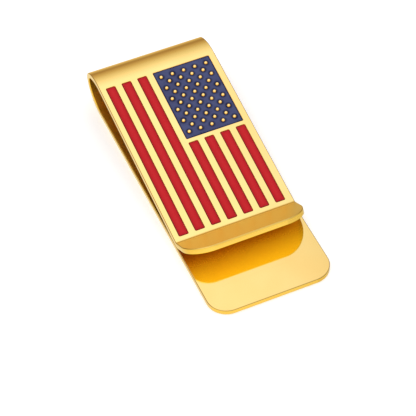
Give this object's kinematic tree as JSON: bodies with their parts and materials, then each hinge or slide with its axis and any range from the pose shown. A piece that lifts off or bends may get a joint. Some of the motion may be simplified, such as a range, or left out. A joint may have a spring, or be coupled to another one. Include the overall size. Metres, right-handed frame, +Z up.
{
  "type": "money clip",
  "caption": "Folded spring-strip money clip with a turned-up lip, polished gold plate, red enamel stripes and a blue enamel field of raised gold dots.",
  "frame": {"origin": "bottom centre of the bounding box, on the underside of the back leaf", "axes": "+Y along the clip towards the bend, so the free ends point to -Y; +X across the width, on the canton's side; +Z up, out of the enamelled face"},
  "size_m": [0.022, 0.0562, 0.0078],
  "materials": {
    "gold_plate": "mirror polished, gold plated",
    "red_enamel": "gloss hard enamel",
    "blue_enamel": "gloss hard enamel"
  },
  "bodies": {
    "back": {"back_leaf": "gold_plate", "spring_bend": "gold_plate"},
    "front": {"front_leaf": "gold_plate", "red_stripe_1": "red_enamel", "red_stripe_2": "red_enamel", "red_stripe_3": "red_enamel", "red_stripe_4": "red_enamel", "red_stripe_5": "red_enamel", "red_stripe_6": "red_enamel", "red_stripe_7": "red_enamel", "canton_enamel": "blue_enamel"}
  },
  "joints": [
    {"name": "clip_flex", "type": "hinge", "parent": "back", "child": "front", "pos_m": [0, 0.0246, 0.004], "axis": [-1, 0, 0], "range_deg": [0, 7], "stiffness_Nm_per_rad": 10.9, "deforming": ["spring_bend"]}
  ]
}
